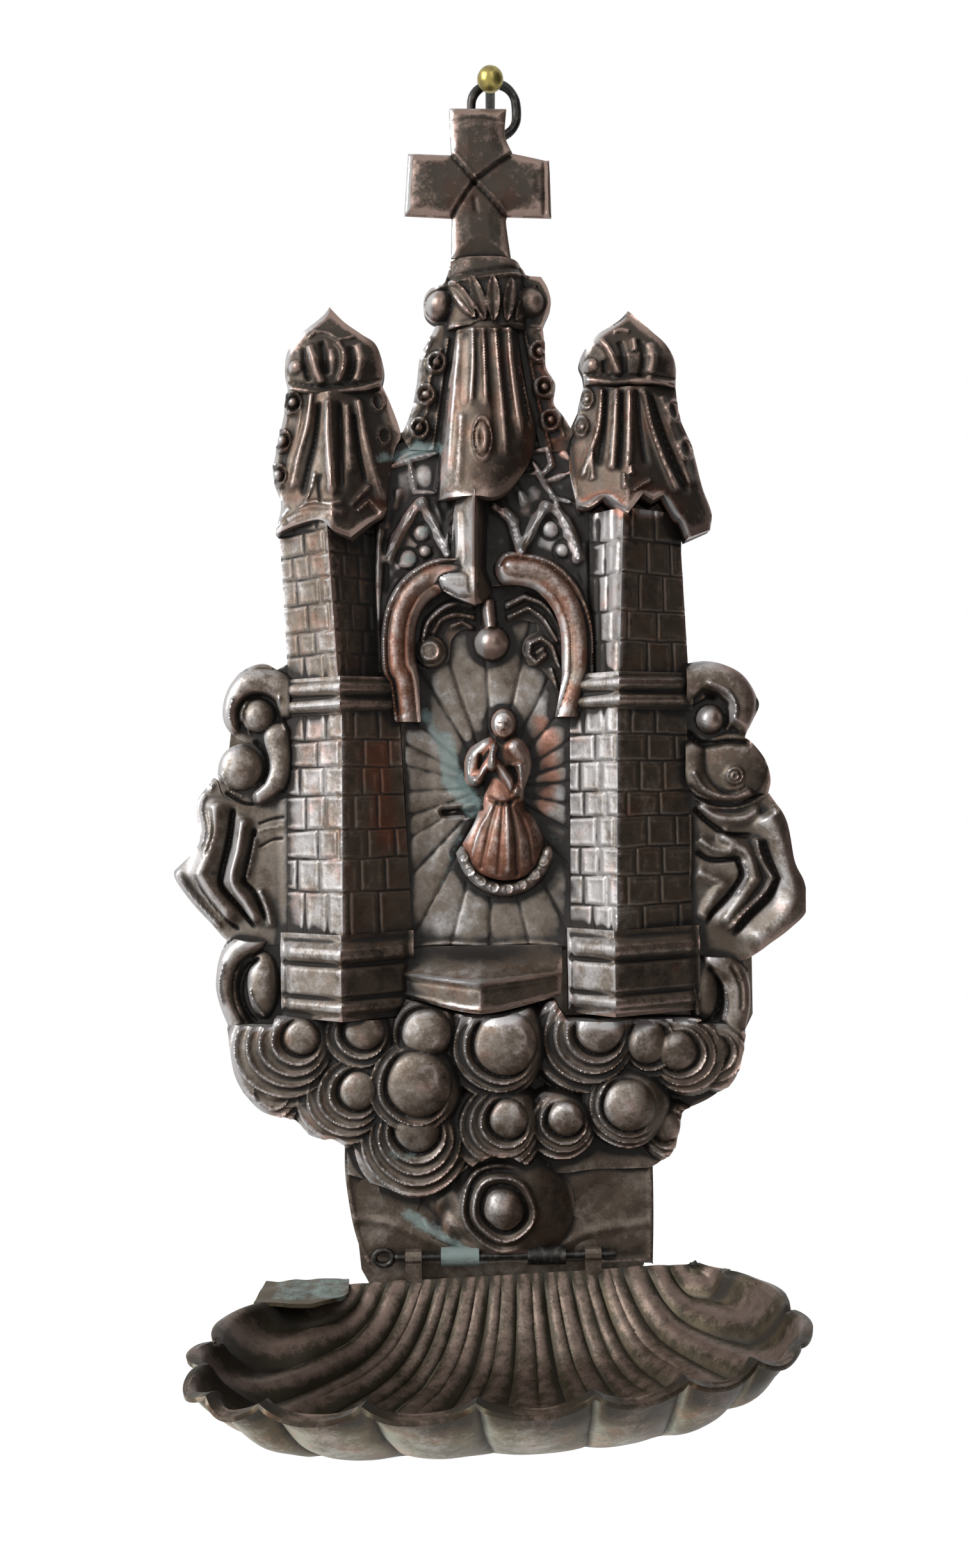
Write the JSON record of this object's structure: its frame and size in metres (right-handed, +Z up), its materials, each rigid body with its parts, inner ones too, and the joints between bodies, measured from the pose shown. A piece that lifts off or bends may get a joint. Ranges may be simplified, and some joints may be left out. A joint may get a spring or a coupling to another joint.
{
  "type": "holy water stoup",
  "caption": "Wall-hung holy water stoup: an embossed copper chapel plaque with towers, niche and figure, hung by a ring, over a hinged scallop-shell basin.",
  "frame": {"origin": "on the back plane of the plaque, on its centreline, at the height of the basin's hinge pin", "axes": "+Z up, +X to the viewer's right, +Y into the wall, so the front faces -Y"},
  "size_m": [0.1564, 0.1062, 0.3227],
  "materials": {
    "plate_copper": "dark oxidised copper sheet, dull",
    "relief_copper": "embossed copper, brown patina rubbed bright on the raised places",
    "brick_copper": "embossed copper with brick courses, rubbed faces",
    "basin_copper": "olive-brown patina, greenish on the rim",
    "verdigris_copper": "copper with a pale verdigris crust",
    "dark_wire": "blackened iron wire",
    "brass": "tarnished brass"
  },
  "bodies": {
    "plaque": {"back_plate": "plate_copper", "centre_spire": "relief_copper", "spire_cap": "relief_copper", "cross": "relief_copper", "hanging_eye": "plate_copper", "lambrequin": "relief_copper", "lambrequin_keel": "relief_copper", "arch_moulding": "relief_copper", "pendant_ball": "relief_copper", "ray_panel": "relief_copper", "niche_ledge": "relief_copper", "figure": "relief_copper", "figure_crescent": "relief_copper", "left_upper_wall": "brick_copper", "left_lower_wall": "brick_copper", "left_tower_ring": "relief_copper", "left_tower_base": "relief_copper", "left_tower_roof": "relief_copper", "left_roof_cap": "relief_copper", "left_crocket_strip": "relief_copper", "left_arch_leaf": "relief_copper", "left_scroll": "relief_copper", "left_flame": "relief_copper", "left_side_cloud": "relief_copper", "right_upper_wall": "brick_copper", "right_lower_wall": "brick_copper", "right_tower_ring": "relief_copper", "right_tower_base": "relief_copper", "right_tower_roof": "relief_copper", "right_roof_cap": "relief_copper", "right_crocket_strip": "relief_copper", "right_arch_leaf": "relief_copper", "right_scroll": "relief_copper", "right_flame": "relief_copper", "right_side_cloud": "relief_copper", "bottom_boss": "relief_copper", "cloud_bank": "relief_copper", "plate_knuckles": "verdigris_copper"},
    "ring": {"hanging_ring": "dark_wire"},
    "nail": {"nail_head": "brass", "nail_shank": "dark_wire"},
    "pin": {"hinge_pin": "dark_wire"},
    "basin": {"basin": "basin_copper", "basin_lugs": "plate_copper"}
  },
  "joints": [
    {"name": "ring_swing", "type": "hinge", "parent": "plaque", "child": "ring", "pos_m": [0.0044, -0.0039, 0.277], "axis": [-1, 0, 0], "range_deg": [0, 12]},
    {"name": "nail_pull", "type": "slide", "parent": "plaque", "child": "nail", "axis": [0, -0.9703, 0.2419], "range_m": [0, 0.03]},
    {"name": "pin_pull", "type": "slide", "parent": "plaque", "child": "pin", "axis": [-1, 0, 0], "range_m": [0, 0.06]},
    {"name": "basin_tilt", "type": "hinge", "parent": "plaque", "child": "basin", "pos_m": [0, -0.0036, 0], "axis": [-1, 0, 0], "range_deg": [0, 45]}
  ]
}
